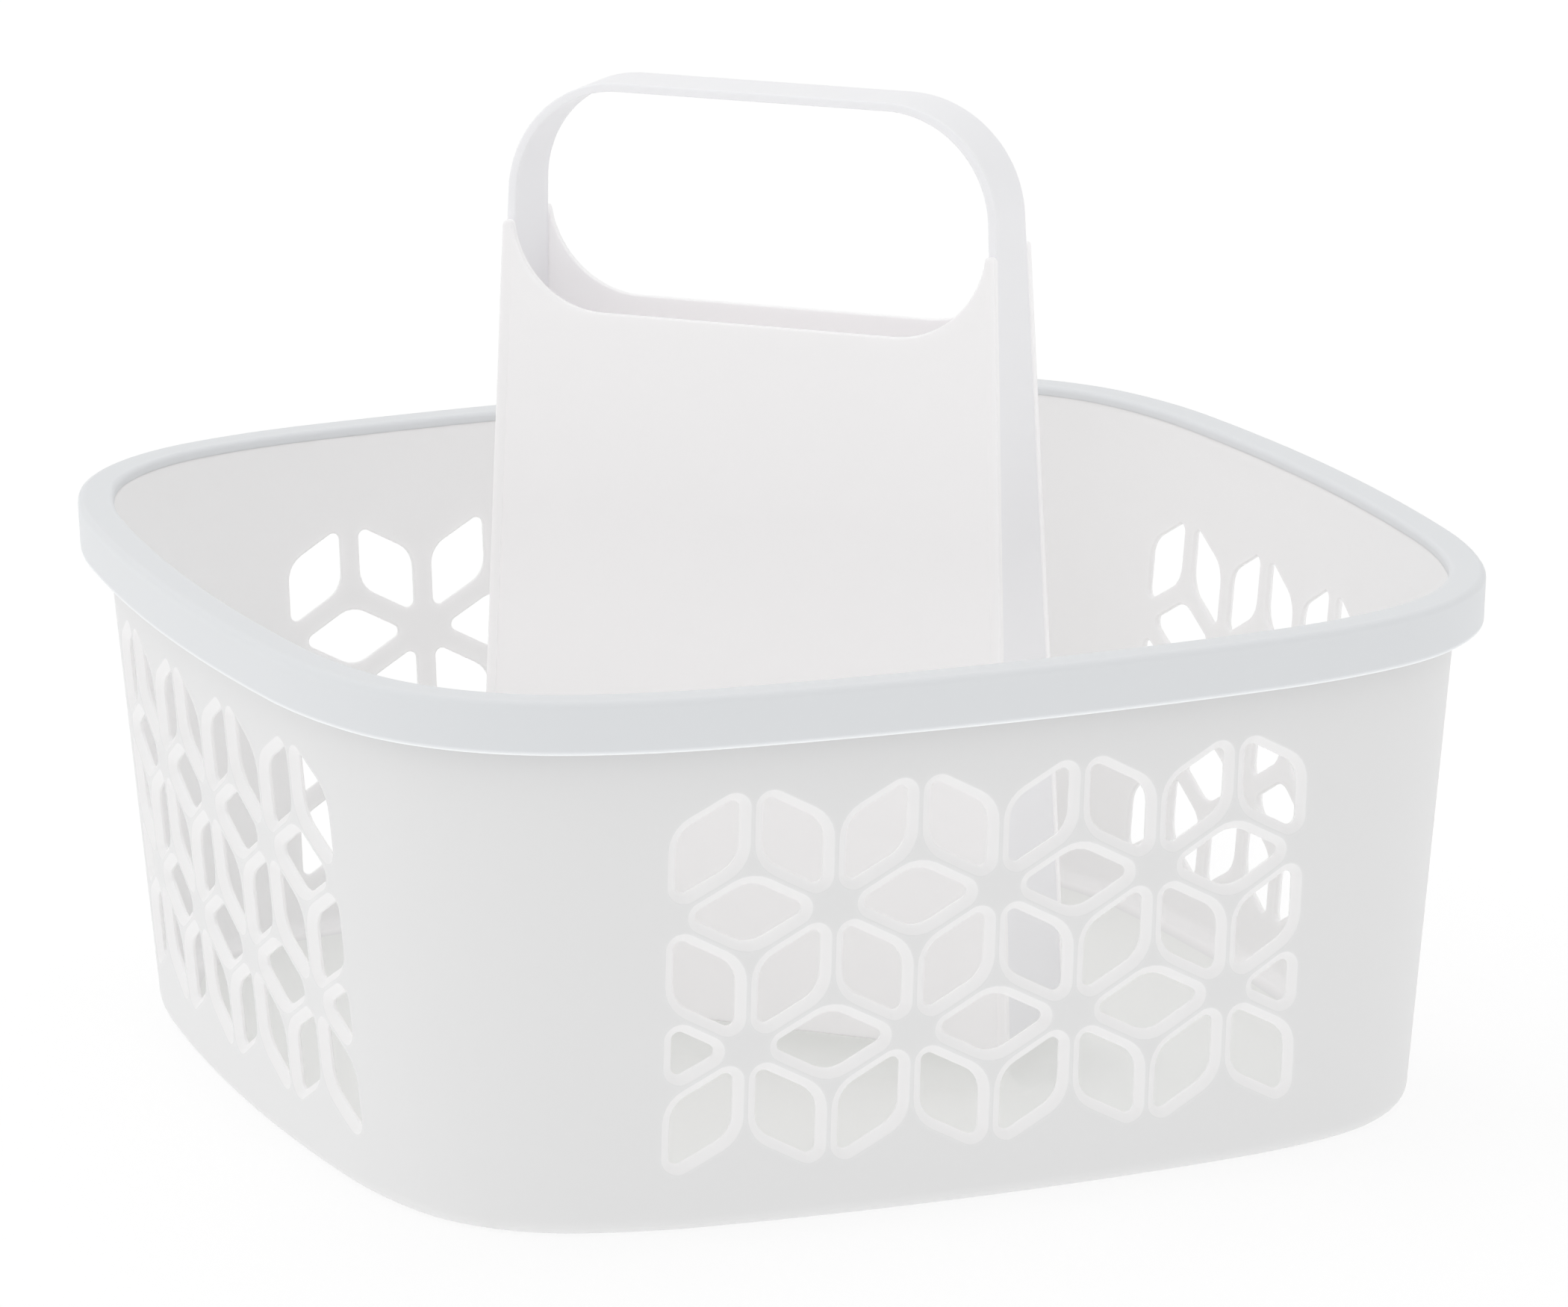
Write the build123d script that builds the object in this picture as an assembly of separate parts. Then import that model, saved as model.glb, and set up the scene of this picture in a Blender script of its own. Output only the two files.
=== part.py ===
from build123d import *
import math
import os

# Free-standing shower caddy in frosted polypropylene: a square basket with bowed sides and a
# rolled rim, and a hollow tapered tower across its diagonal that ends in a strap handle.
# Frame: millimetres, +Z up, origin under the middle of the base. The four sides face
# +X, -X, +Y and -Y. The tower runs from the -X+Y corner to the +X-Y corner.

# ---- driving dimensions -------------------------------------------------------------------
RIM_HALF = 140.0            # middle of a side, outside of the rim skirt
RIM_Z = 118.7               # top of the rim
SIDE_RADIUS = 592.0         # the outline is three arcs between the middle of a side and a corner
SIDE_TURN = 6.1             # degrees turned by the side arc, then by side and shoulder arcs together
SHOULDER_RADIUS = 129.5
SHOULDER_TURN = 19.65       # the corner arc takes the rest, and its centre is on the diagonal

SKIRT_DROP = 11.2           # height of the rim skirt
SKIRT_WALL = 1.9
SKIRT_DRAFT = 0.4           # how much the skirt leans in at its lower edge
FLANGE_WALL = 2.2           # thickness of the rim's flat top
RIM_OUTER_ROUND = 1.6
RIM_INNER_ROUND = 1.2

WALL = 2.4                  # basket wall
WALL_INSET = 5.6            # from the skirt's outside to the wall's outside, at the rim
WALL_DRAFT = 0.0865         # how fast the wall leans in on its way down, mm per mm
BASE_ROUND = 4.2            # outside radius where the wall meets the base
FLOOR_WALL = 2.2
FLOOR_SEAM = 9.0            # the floor plate stops this far inside the base outline

PITCH = 18.1                # column spacing of the lattice
SIDE = 19.9                 # upright side of one rhombus
LATTICE_Z = 69.6            # height of the upper row of six-rib stars
COLUMNS = 8
RIB = 4.9                   # rib width at the throat of the holes
OBTUSE_ROUND = 6.4
ACUTE_ROUND = 1.6

TOWER_TIP_Z = 184.8         # tips of the panels, beside the strap
TOWER_HALF_LENGTH = 58.3    # at the tips
TOWER_LENGTH_DRAFT = 0.0341
TOWER_HALF_DEPTH = 10.75    # at the tips
TOWER_DEPTH_DRAFT = 0.0419
PANEL_WALL = 1.9
BEAD_WIDTH = 2.2            # raised upright border of each panel
BEAD_RISE = 0.3
CUT_Z = 165.7               # bottom of the hand opening
CUT_ROUND = 21.5

HANDLE_Z = 216.4            # top of the strap
STRAP_WALL = 1.95
STRAP_INSET = 0.25          # strap's outside, in from the panels' edges
STRAP_ROUND = 26.0

COLLAR_RISE = 7.0           # filleted foot that the floor turns up round the tower
COLLAR_ROUND = 6.0
COLLAR_CORNER = 1.4

DRAIN_DIAMETER = 6.0
DRAIN_PITCH = 13.0
DRAIN_ROWS = 4              # drains form a triangle in each free corner of the floor
DRAIN_CORNER = 84.0         # the corner drain, along both walls from the centre


# ---- plan outline -------------------------------------------------------------------------
def turned(radius, degrees):
    return Vector(radius * math.sin(math.radians(degrees)), radius * math.cos(math.radians(degrees)))


SIDE_CENTRE = Vector(0, RIM_HALF - SIDE_RADIUS)
SHOULDER_CENTRE = SIDE_CENTRE + turned(SIDE_RADIUS - SHOULDER_RADIUS, SIDE_TURN)
GAP = SHOULDER_CENTRE.Y - SHOULDER_CENTRE.X
AIM = math.radians(SHOULDER_TURN)
CORNER_RADIUS = SHOULDER_RADIUS + GAP / (math.cos(AIM) - math.sin(AIM))
CORNER_CENTRE = SHOULDER_CENTRE + turned(SHOULDER_RADIUS - CORNER_RADIUS, SHOULDER_TURN)


def outline(z, inset):
    """Horizontal face at height z, inset from the outside of the rim skirt."""
    side = CenterArc(SIDE_CENTRE, SIDE_RADIUS - inset, 90 - SIDE_TURN, 2 * SIDE_TURN)
    shoulder = CenterArc(SHOULDER_CENTRE, SHOULDER_RADIUS - inset, 90 - SHOULDER_TURN, SHOULDER_TURN - SIDE_TURN)
    corner = CenterArc(CORNER_CENTRE, CORNER_RADIUS - inset, SHOULDER_TURN, 90 - 2 * SHOULDER_TURN)
    next_shoulder = mirror(shoulder, Plane(origin=(0, 0, 0), x_dir=(0, 0, 1), z_dir=(1, -1, 0)))
    arcs = [side, shoulder, corner, next_shoulder]
    ring = [Rot(0, 0, turn) * arc for turn in (0, 90, 180, 270) for arc in arcs]
    return Pos(0, 0, z) * make_face(ring)


def wall_inset(z):
    """Inset of the basket wall's outside at height z."""
    return WALL_INSET + WALL_DRAFT * (RIM_Z - z)


def slab(z0, z1, inset0, inset1):
    """Solid between two outlines."""
    taper = -math.degrees(math.atan((inset0 - inset1) / (z1 - z0)))
    return extrude(outline(z0, inset0), z1 - z0, taper=taper)


def edges_at(solid, z):
    return [e for e in solid.edges() if abs(e.center().Z - z) < 0.01 and abs(e.bounding_box().size.Z) < 0.02]


# ---- basket -------------------------------------------------------------------------------
def basket_shell():
    """Wall and floor together, without holes, up to the underside of the rim's flange."""
    top = RIM_Z - FLANGE_WALL
    outside = slab(0, top, wall_inset(0), wall_inset(top))
    outside = fillet(edges_at(outside, 0), BASE_ROUND)
    inside = slab(FLOOR_WALL, RIM_Z, wall_inset(FLOOR_WALL) + WALL, wall_inset(RIM_Z) + WALL)
    inside = fillet(edges_at(inside, FLOOR_WALL), BASE_ROUND - FLOOR_WALL / 2)
    return outside - inside


def floor_region():
    seam = wall_inset(0) + FLOOR_SEAM
    return slab(-1, FLOOR_WALL + 1, seam, seam)


def rhombus_hole(corners):
    """Hole face inside a rhombus or half rhombus, half a rib in from its edges."""
    face = offset(make_face(Polyline(*corners, close=True)), -RIB / 2, kind=Kind.INTERSECTION).face()
    for wide, radius in ((True, OBTUSE_ROUND), (False, ACUTE_ROUND)):
        picked = [v for v in face.vertices() if is_wide(v, face) == wide]
        picked = [v for v in picked if is_corner(v, face)]
        if picked:
            face = fillet(picked, radius).face()
    return face


def sides_at(vertex, face):
    point = Vector(vertex.X, vertex.Y, vertex.Z)
    return [e for e in face.edges() if min((e @ 0 - point).length, (e @ 1 - point).length) < 1e-4]


def is_corner(vertex, face):
    return all(e.geom_type == GeomType.LINE for e in sides_at(vertex, face))


def is_wide(vertex, face):
    """True at a corner of more than a right angle."""
    point = Vector(vertex.X, vertex.Y, vertex.Z)
    directions = []
    for edge in sides_at(vertex, face):
        start, end = edge @ 0, edge @ 1
        far = end if (start - point).length < (end - point).length else start
        directions.append((far - point).normalized())
    return len(directions) == 2 and directions[0].dot(directions[1]) < 0


def lattice_holes():
    """All hole faces of one side, in the XY plane: X along the side, Y up from the star row."""
    half = SIDE / 2
    left = -COLUMNS / 2 * PITCH
    faces = []
    for column in range(COLUMNS):
        x0, x1 = left + column * PITCH, left + (column + 1) * PITCH
        rises = half if column % 2 == 0 else -half
        low0, low1 = (0, half) if rises > 0 else (half, 0)
        rows = ((low0, low1), (low1 - SIDE - half, low0 - SIDE - half), (low0 - 3 * SIDE, low1 - 3 * SIDE))
        for y0, y1 in rows:
            corners = ((x0, y0), (x1, y1), (x1, y1 + SIDE), (x0, y0 + SIDE))
            faces.append(rhombus_hole(corners))
    for row, first in ((0, 1), (-1.5 * SIDE, 0)):
        for column in range(first, COLUMNS + 1, 2):
            x = left + column * PITCH
            corners = [(x, row - half), (x + PITCH, row), (x, row + half), (x - PITCH, row)]
            if column == 0:
                corners.pop(3)
            if column == COLUMNS:
                corners.pop(1)
            faces.append(rhombus_hole(corners))
    return faces


def wall_cutters():
    """Straight cutters through all four sides, each along its side's normal."""
    front = Plane(origin=(0, 0, LATTICE_Z), x_dir=(1, 0, 0), z_dir=(0, -1, 0))
    near, far = RIM_HALF * 0.8, RIM_HALF * 1.05
    cutters = []
    for face in lattice_holes():
        bar = extrude(front * (Pos(0, 0, near) * face), far - near)
        cutters += [Rot(0, 0, turn) * bar for turn in (0, 90, 180, 270)]
    return cutters


def drain_cutters():
    """Round drains in the two floor corners beside the tower."""
    cutters = []
    for sign in (-1, 1):
        for row in range(DRAIN_ROWS):
            for place in range(DRAIN_ROWS - row):
                x = sign * (DRAIN_CORNER - row * DRAIN_PITCH)
                y = sign * (DRAIN_CORNER - place * DRAIN_PITCH)
                cutters.append(Pos(x, y, FLOOR_WALL / 2) * Cylinder(DRAIN_DIAMETER / 2, 3 * FLOOR_WALL))
    return cutters


def rolled_rim():
    """Flat rim top with its outer skirt, open below."""
    low = RIM_Z - SKIRT_DROP
    under = RIM_Z - FLANGE_WALL
    body = slab(low, RIM_Z, SKIRT_DRAFT, 0)
    body = fillet(edges_at(body, RIM_Z), RIM_OUTER_ROUND)
    hollow = slab(low - 1, under, SKIRT_DRAFT + SKIRT_WALL, SKIRT_WALL)
    mouth_low = wall_inset(under) + WALL
    mouth_top = wall_inset(RIM_Z) + WALL
    rim = body - hollow - slab(under - 1, RIM_Z + 1, mouth_low, mouth_top)
    inner = min(edges_at(rim, RIM_Z), key=lambda e: e.length)
    return fillet([inner], RIM_INNER_ROUND)


# ---- handle tower, made along X and then turned across the basket -------------------------
def half_length(z):
    return TOWER_HALF_LENGTH + TOWER_LENGTH_DRAFT * (TOWER_TIP_Z - z)


def half_depth(z):
    return TOWER_HALF_DEPTH + TOWER_DEPTH_DRAFT * (TOWER_TIP_Z - z)


def tapered(z0, z1, length_inset, depth_inset):
    """Tapered block of the tower's outside, pulled in along X and along Y."""
    ends = []
    for z in (z0, z1):
        size = 2 * (half_length(z) - length_inset), 2 * (half_depth(z) - depth_inset)
        ends.append(Pos(0, 0, z) * Rectangle(*size))
    return loft(ends, ruled=True)


FOOT_Z = FLOOR_WALL + COLLAR_RISE
UPRIGHT = Plane(origin=(0, 0, 0), x_dir=(1, 0, 0), z_dir=(0, -1, 0))


def hand_cut():
    """Lower half of the hand opening, cut through a panel."""
    half = half_length(TOWER_TIP_Z) - BEAD_WIDTH
    top = HANDLE_Z + 10
    face = make_face(Polyline((-half, CUT_Z), (half, CUT_Z), (half, top), (-half, top), close=True))
    face = fillet([v for v in face.vertices() if abs(v.Y - CUT_Z) < 0.1], CUT_ROUND)
    return extrude(UPRIGHT * face, 60, both=True)


def tower_panel(front):
    """One tapered face plate with raised beads up both edges."""
    plate = tapered(FOOT_Z, TOWER_TIP_Z, 0, BEAD_RISE)
    beads = tapered(FOOT_Z, TOWER_TIP_Z, 0, 0) - tapered(FOOT_Z, TOWER_TIP_Z, BEAD_WIDTH, -1)
    both = (plate + beads) - tapered(FOOT_Z, TOWER_TIP_Z, -1, PANEL_WALL) - hand_cut()
    keep = Pos(0, -50 if front else 50, TOWER_TIP_Z / 2) * Box(300, 100, 2 * TOWER_TIP_Z)
    return both & keep


def strap_profile(inset, round_radius, foot):
    low, high = half_length(foot) - inset, half_length(HANDLE_Z) - inset
    top = HANDLE_Z - (inset - STRAP_INSET)
    face = make_face(Polyline((-low, foot), (low, foot), (high, top), (-high, top), close=True))
    return fillet([v for v in face.vertices() if abs(v.Y - top) < 0.1], round_radius)


def handle_strap():
    """One strip: up one end of the tower, over the hand opening and down the other end."""
    outer = extrude(UPRIGHT * strap_profile(STRAP_INSET, STRAP_ROUND, FOOT_Z), 60, both=True)
    inner_face = strap_profile(STRAP_INSET + STRAP_WALL, STRAP_ROUND - STRAP_WALL, FOOT_Z - 1)
    inner = extrude(UPRIGHT * inner_face, 60, both=True)
    return (outer - inner) & tapered(FOOT_Z, HANDLE_Z, 0, PANEL_WALL)


def tower_collar(plate):
    """Turns the floor up round the tower, with a fillet outside and the hollow left open."""
    stub = tapered(0.5, FOOT_Z, 0, 0)
    stub = fillet([e for e in stub.edges() if e.bounding_box().size.Z > 5], COLLAR_CORNER)
    joined = plate + stub
    root = [e for e in edges_at(joined, FLOOR_WALL) if Vector(*e.center()).length < half_length(0) + 2]
    joined = fillet(root, COLLAR_ROUND)
    return joined - tapered(-1, FOOT_Z + 1, STRAP_INSET + STRAP_WALL, PANEL_WALL)


# ---- assembly -----------------------------------------------------------------------------
ACROSS = Rot(0, 0, -45)

shell = basket_shell()
floor_plate = ACROSS.inverse() * (shell & floor_region())
parts = {
    "basket_wall": (shell - floor_region()) - wall_cutters(),
    "basket_floor": ACROSS * tower_collar(floor_plate) - drain_cutters(),
    "rolled_rim": rolled_rim(),
    "tower_front_panel": ACROSS * tower_panel(front=True),
    "tower_back_panel": ACROSS * tower_panel(front=False),
    "handle_strap": ACROSS * handle_strap(),
}

os.makedirs("parts", exist_ok=True)
for name, shape in parts.items():
    box = shape.bounding_box()
    print(f"{name}: {len(shape.solids())} solid, {shape.volume / 1000:.1f} cm3, z {box.min.Z:.1f}..{box.max.Z:.1f}")
    export_step(shape, f"parts/{name}.step")
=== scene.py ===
# %% [markdown]
# # A shower caddy in frosted polypropylene
# The caddy is a square basket with bowed, tapered sides, a rolled rim, and a hollow tower across
# its diagonal that ends in a strap handle. It came out of one mould, so every piece has the same
# surface, and each seam between two pieces is flush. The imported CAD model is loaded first, as the
# fixed frame: it gives the heights, and each mesh below takes the place of one of its nodes.

# %% Load the frame
import bmesh
import bpy
import math
import numpy as np
from mathutils import Matrix, Vector
from mathutils.geometry import delaunay_2d_cdt


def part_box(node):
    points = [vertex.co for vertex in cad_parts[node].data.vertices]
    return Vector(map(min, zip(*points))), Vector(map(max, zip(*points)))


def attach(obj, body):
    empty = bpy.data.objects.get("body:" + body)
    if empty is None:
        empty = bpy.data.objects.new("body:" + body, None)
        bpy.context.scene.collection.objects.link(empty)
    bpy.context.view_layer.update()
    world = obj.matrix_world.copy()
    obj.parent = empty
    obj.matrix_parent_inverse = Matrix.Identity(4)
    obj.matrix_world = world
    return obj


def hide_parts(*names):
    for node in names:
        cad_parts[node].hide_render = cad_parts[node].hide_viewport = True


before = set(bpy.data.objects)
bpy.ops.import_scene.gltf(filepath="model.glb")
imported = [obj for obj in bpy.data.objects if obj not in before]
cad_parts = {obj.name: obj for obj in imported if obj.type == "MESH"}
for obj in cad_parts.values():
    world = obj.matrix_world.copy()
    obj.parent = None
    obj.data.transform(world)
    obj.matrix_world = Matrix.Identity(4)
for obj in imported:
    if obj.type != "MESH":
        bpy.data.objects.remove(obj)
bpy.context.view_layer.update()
MM = 0.001


def height(node, end):
    """Lowest (end 0) or highest (end 1) point of a CAD node, in millimetres."""
    return round(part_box(node)[end].z / MM, 2)


RIM_TOP = height("rolled_rim", 1)
SKIRT_LOW = height("rolled_rim", 0)
WALL_TOP = height("basket_wall", 1)
FOOT_TOP = height("basket_floor", 1)
TIP_TOP = height("tower_front_panel", 1)
HANDLE_TOP = height("handle_strap", 1)
print("frame heights, mm:", RIM_TOP, SKIRT_LOW, WALL_TOP, FOOT_TOP, TIP_TOP, HANDLE_TOP)

# %% [markdown]
# ## The plan outline
# Seen from above, each side is a shallow arc, each corner a large round, and a third arc eases
# one into the other. Three arcs with shared tangents are what a toolmaker would draw, and they
# have a great advantage here: pulling the outline inwards only shortens the radii, so rim, wall
# and base can all be placed by the same small function. A place on a side is given by its turn,
# from -45 degrees at the left corner to 45 at the right one.

# %% Outline arcs
RIM_HALF = 140.0
SIDE_RADIUS, SIDE_TURN = 592.0, 6.1
SHOULDER_RADIUS, SHOULDER_TURN = 129.5, 19.65
ARC_STEPS = (12, 8, 8)


def heading(turn):
    return Vector((math.sin(math.radians(turn)), math.cos(math.radians(turn))))


side_centre = Vector((0, RIM_HALF - SIDE_RADIUS))
shoulder_centre = side_centre + heading(SIDE_TURN) * (SIDE_RADIUS - SHOULDER_RADIUS)
aim = heading(SHOULDER_TURN)
corner_radius = SHOULDER_RADIUS + (shoulder_centre.y - shoulder_centre.x) / (aim.y - aim.x)
corner_centre = shoulder_centre + aim * (SHOULDER_RADIUS - corner_radius)
ARCS = (
    (0, SIDE_TURN, side_centre, SIDE_RADIUS),
    (SIDE_TURN, SHOULDER_TURN, shoulder_centre, SHOULDER_RADIUS),
    (SHOULDER_TURN, 45, corner_centre, corner_radius),
)


def arc_of(turn):
    return next(arc for arc in ARCS if abs(turn) <= arc[1] + 1e-9)


def on_side(turn, inset, z):
    """Point of the side that faces -Y, in millimetres."""
    _, _, centre, radius = arc_of(turn)
    spot = centre + heading(abs(turn)) * (radius - inset)
    return (math.copysign(spot.x, turn), -spot.y, z)


def turn_at(x, inset):
    """Turn at which the inset outline is x to the right of the side's middle."""
    for _, end, centre, radius in ARCS:
        reach = (abs(x) - centre.x) / (radius - inset)
        turn = math.degrees(math.asin(min(reach, 1)))
        if turn <= end:
            break
    return math.copysign(turn, x)


def run(turn):
    """Length along the outline from the side's middle."""
    total = 0
    for start, end, _, radius in ARCS:
        total += radius * math.radians(max(0, min(abs(turn), end) - start))
    return math.copysign(total, turn)


half_columns = [0]
for (start, end, _, _), steps in zip(ARCS, ARC_STEPS):
    half_columns += [start + (end - start) * (k + 1) / steps for k in range(steps)]
COLUMN_TURNS = [-turn for turn in half_columns[:0:-1]] + half_columns
print("corner radius", round(corner_radius, 2), "mm; one side is", round(2 * run(45), 1), "mm long")

# %% [markdown]
# ## Small tools for shells
# Every piece is a closed shell made from rings of points: neighbouring rings are bridged with
# quads, and a flat or gently bowed face with holes is filled with triangles between its rings.
# A constrained Delaunay fill keeps the edges that it is given, so a ring of a hole stays a ring.

# %% Skin: points and faces of one piece
FILL_TOLERANCE = 1e-5


class Skin:
    """Points in millimetres and faces of one piece."""

    def __init__(self):
        self.points, self.faces, self.inside = [], [], []

    def ring(self, points, inside=0.0):
        """Adds points. inside is 1 on the inner faces, the core side of the mould, and 0 on the outer, cavity
        side; the material paints a lighter tint and a glow by it, as painted light.
        """
        first = len(self.points)
        self.points += [tuple(p) for p in points]
        self.inside += [inside] * len(points)
        return list(range(first, len(self.points)))

    def bridge(self, rings, closed=True):
        for a, b in zip(rings, rings[1:]):
            for k in range(0 if closed else 1, len(a)):
                self.faces.append((a[k - 1], a[k], b[k], b[k - 1]))

    def fill(self, flat, loops, loose=(), creases=(), flip=False):
        """Triangles between closed loops. flat gives each point's place on the unrolled face."""
        ids = [i for loop in loops for i in loop] + list(loose)
        spot = {i: k for k, i in enumerate(ids)}
        plane = np.array([flat[i] for i in ids], float)
        pairs = [(spot[loop[k - 1]], spot[loop[k]]) for loop in loops for k in range(len(loop))]
        kept = pairs + [(spot[a], spot[b]) for a, b in creases]
        made = delaunay_2d_cdt([Vector(p) for p in plane], kept, [], 0, FILL_TOLERANCE, True)
        triangles = np.array([[made[3][v][0] for v in face] for face in made[2]])
        middles = plane[triangles].mean(axis=1)
        a, b = plane[[p[0] for p in pairs]], plane[[p[1] for p in pairs]]
        rise = np.where(a[:, 1] == b[:, 1], 1, b[:, 1] - a[:, 1])
        spans = (a[:, 1] > middles[:, 1:]) != (b[:, 1] > middles[:, 1:])
        crossing = a[:, 0] + (middles[:, 1:] - a[:, 1]) / rise * (b[:, 0] - a[:, 0])
        inside = np.count_nonzero(spans & (middles[:, :1] < crossing), axis=1) % 2 == 1
        for triangle in triangles[inside]:
            face = [ids[k] for k in triangle]
            self.faces.append(tuple(reversed(face)) if flip else tuple(face))

    def mesh(self, name):
        mesh = bpy.data.meshes.new(name)
        mesh.from_pydata([Vector(p) * MM for p in self.points], [], self.faces)
        mesh.attributes.new("inside", "FLOAT", "POINT").data.foreach_set("value", self.inside)
        return mesh


def rounded(corners, radii, step=15, mids=0):
    """Points and outward normals of a polygon, run anticlockwise, with rounded corners."""
    runs = []
    for k, (corner, radius) in enumerate(zip(corners, radii)):
        corner = Vector(corner)
        into = (corner - Vector(corners[k - 1])).normalized()
        out = (Vector(corners[(k + 1) % len(corners)]) - corner).normalized()
        bend = math.atan2(into.cross(out), into.dot(out))
        normal0, normal1 = Vector((into.y, -into.x)), Vector((out.y, -out.x))
        if radius == 0:
            runs.append([(corner, (normal0 + normal1) / (1 + normal0.dot(normal1)))])
            continue
        side = math.copysign(1, bend)
        centre = corner - into * radius * math.tan(abs(bend) / 2) - normal0 * radius * side
        steps = max(1, round(math.degrees(abs(bend)) / step))
        arc = []
        for j in range(steps + 1):
            normal = normal0.copy()
            normal.rotate(Matrix.Rotation(bend * j / steps, 2))
            arc.append((centre + normal * radius * side, normal))
        runs.append(arc)
    whole = []
    for k, arc in enumerate(runs):
        whole += arc
        (a, _), (b, _) = arc[-1], runs[(k + 1) % len(runs)][0]
        along = (b - a).normalized()
        for j in range(mids):
            whole.append((a.lerp(b, (j + 1) / (mids + 1)), Vector((along.y, -along.x))))
    return whole


def grown(outline, amount):
    """The outline moved outwards by that much."""
    return [spot + normal * amount for spot, normal in outline]


print("skin tools ready")

# %% [markdown]
# ## The perforated wall
# The panel of holes in each side is a tumbling-blocks lattice: upright rhombi lean left and right
# in pairs, and flat rhombi fill the gaps. Only the sizes of one rhombus and the gap between two
# holes are stated, and the rule gives all 33 holes. Each hole's outer edge is softly rounded,
# its throat is short, and its inner edge is nearly sharp.

# %% Lattice holes
PITCH, SIDE, COLUMNS = 18.1, 19.9, 8
STAR_ROW = 69.6
RIB = 4.9
WIDE_ROUND, TIGHT_ROUND = 6.4, 1.6
HOLE_STEP = 13


def hole(corners):
    """Outline of the hole in one cell, half a rib in from the cell's sides."""
    turning = []
    for k, corner in enumerate(corners):
        into = Vector(corner) - Vector(corners[k - 1])
        out = Vector(corners[(k + 1) % len(corners)]) - Vector(corner)
        turning.append(into.dot(out) > 0)
    sharp = grown(rounded(corners, [0] * len(corners)), -RIB / 2)
    rounds = [WIDE_ROUND if wide else TIGHT_ROUND for wide in turning]
    return rounded(sharp, rounds, step=HOLE_STEP, mids=1)


def lattice():
    """Every hole of one side, as outlines in x along the side and z up."""
    holes, half, left = [], SIDE / 2, -COLUMNS / 2 * PITCH
    for column in range(COLUMNS):
        x0, x1 = left + column * PITCH, left + (column + 1) * PITCH
        low0, low1 = (0, half) if column % 2 == 0 else (half, 0)
        rows = ((low0, low1), (low1 - SIDE - half, low0 - SIDE - half),
                (low0 - 3 * SIDE, low1 - 3 * SIDE))
        for y0, y1 in rows:
            z0, z1 = STAR_ROW + y0, STAR_ROW + y1
            holes.append(hole([(x0, z0), (x1, z1), (x1, z1 + SIDE), (x0, z0 + SIDE)]))
    for row, first in ((STAR_ROW, 1), (STAR_ROW - 1.5 * SIDE, 0)):
        for column in range(first, COLUMNS + 1, 2):
            x = left + column * PITCH
            corners = [(x, row - half), (x + PITCH, row), (x, row + half), (x - PITCH, row)]
            if column == 0:
                corners.pop(3)
            if column == COLUMNS:
                corners.pop(1)
            holes.append(hole(corners))
    return holes


HOLES = lattice()
print(len(HOLES), "holes a side,", sum(map(len, HOLES)), "points round them")

# %% [markdown]
# ## One side of the wall
# A side runs from the middle of one corner to the middle of the next. Its outer and inner faces
# are filled round the holes, each hole is a stack of rings from one face to the other, and a
# rounded foot turns in below to meet the floor plate. The flare and throat of a hole are marked
# as partly lit, which stands in for the light that thin plastic lets through there.

# %% One side of the wall
WALL, WALL_INSET, WALL_DRAFT = 2.4, 5.6, 0.0865
FLOOR_WALL, FLOOR_SEAM = 2.2, 9.0
FOOT_ROUND_OUT, FOOT_ROUND_IN = 4.2, 3.1
FLARE_WIDTH, FLARE_DEPTH = 2.2, 1.45
LIP_WIDTH, LIP_DEPTH = 0.7, 0.5
THROAT_LIGHT = 0.7
SKIN_DEPTH, INNER_DEPTH = 0.1, WALL - 0.01
RING_CLEARANCE = 1.5
ROWS = 24


def wall_inset(z):
    return WALL_INSET + WALL_DRAFT * (RIM_TOP - z)


def foot_arc(radius, base, extra, steps=6):
    """(inset, z) of the round between a wall face and the base, from the wall down."""
    lean = math.atan(WALL_DRAFT)
    inset = wall_inset(base + radius * (1 - math.sin(lean))) + extra + radius * math.cos(lean)
    angles = [lean + (math.pi / 2 - lean) * k / steps for k in range(steps + 1)]
    return [(inset - radius * math.cos(a), base + radius - radius * math.sin(a)) for a in angles]


def hole_profile():
    """(growth, depth) of the rings of a hole, from the outer face to the inner one."""
    slope = FLARE_DEPTH / FLARE_WIDTH
    flare = [(FLARE_WIDTH, 0), (FLARE_WIDTH - 0.12, 0.03), (FLARE_WIDTH - 0.3, 0.16)]
    flare += [(growth, (FLARE_WIDTH - growth) * slope) for growth in (1.2, 0.5)]
    flare += [(0.18, FLARE_DEPTH - 0.05), (0.03, FLARE_DEPTH + 0.08)]
    lip = [math.radians(30 * k) for k in range(4)]
    return flare + [(LIP_WIDTH * (1 - math.cos(a)), WALL - LIP_DEPTH * (1 - math.sin(a))) for a in lip]


def wall_face(skin, flat, hole_rings, depth, low, flip):
    """Fills the outer (depth 0) or inner face of one side, and returns its lower and upper edge."""
    rows = [low + (WALL_TOP - low) * k / ROWS for k in range(ROWS + 1)]
    grid = []
    for z in rows:
        grid.append(skin.ring([on_side(turn, wall_inset(z) + depth, z) for turn in COLUMN_TURNS],
                              inside=depth / WALL))
        flat.update(zip(grid[-1], [(run(turn), z) for turn in COLUMN_TURNS]))
    edge = [row[-1] for row in grid[1:-1]]
    border = grid[0] + edge + grid[-1][::-1] + [row[0] for row in grid[1:-1]][::-1]
    rims = np.array([flat[i] for ring in hole_rings for i in ring])
    loops = [[flat[i] for i in ring] for ring in hole_rings]
    clear = [i for row in grid[1:-1] for i in row[1:-1]
             if np.min(np.sum((rims - np.array(flat[i])) ** 2, axis=1)) > RING_CLEARANCE ** 2]
    solid = [i for i in clear if not any(in_loop(flat[i], loop) for loop in loops)]
    skin.fill(flat, [border] + hole_rings, loose=solid, flip=flip)
    return grid[0], grid[-1]


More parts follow.
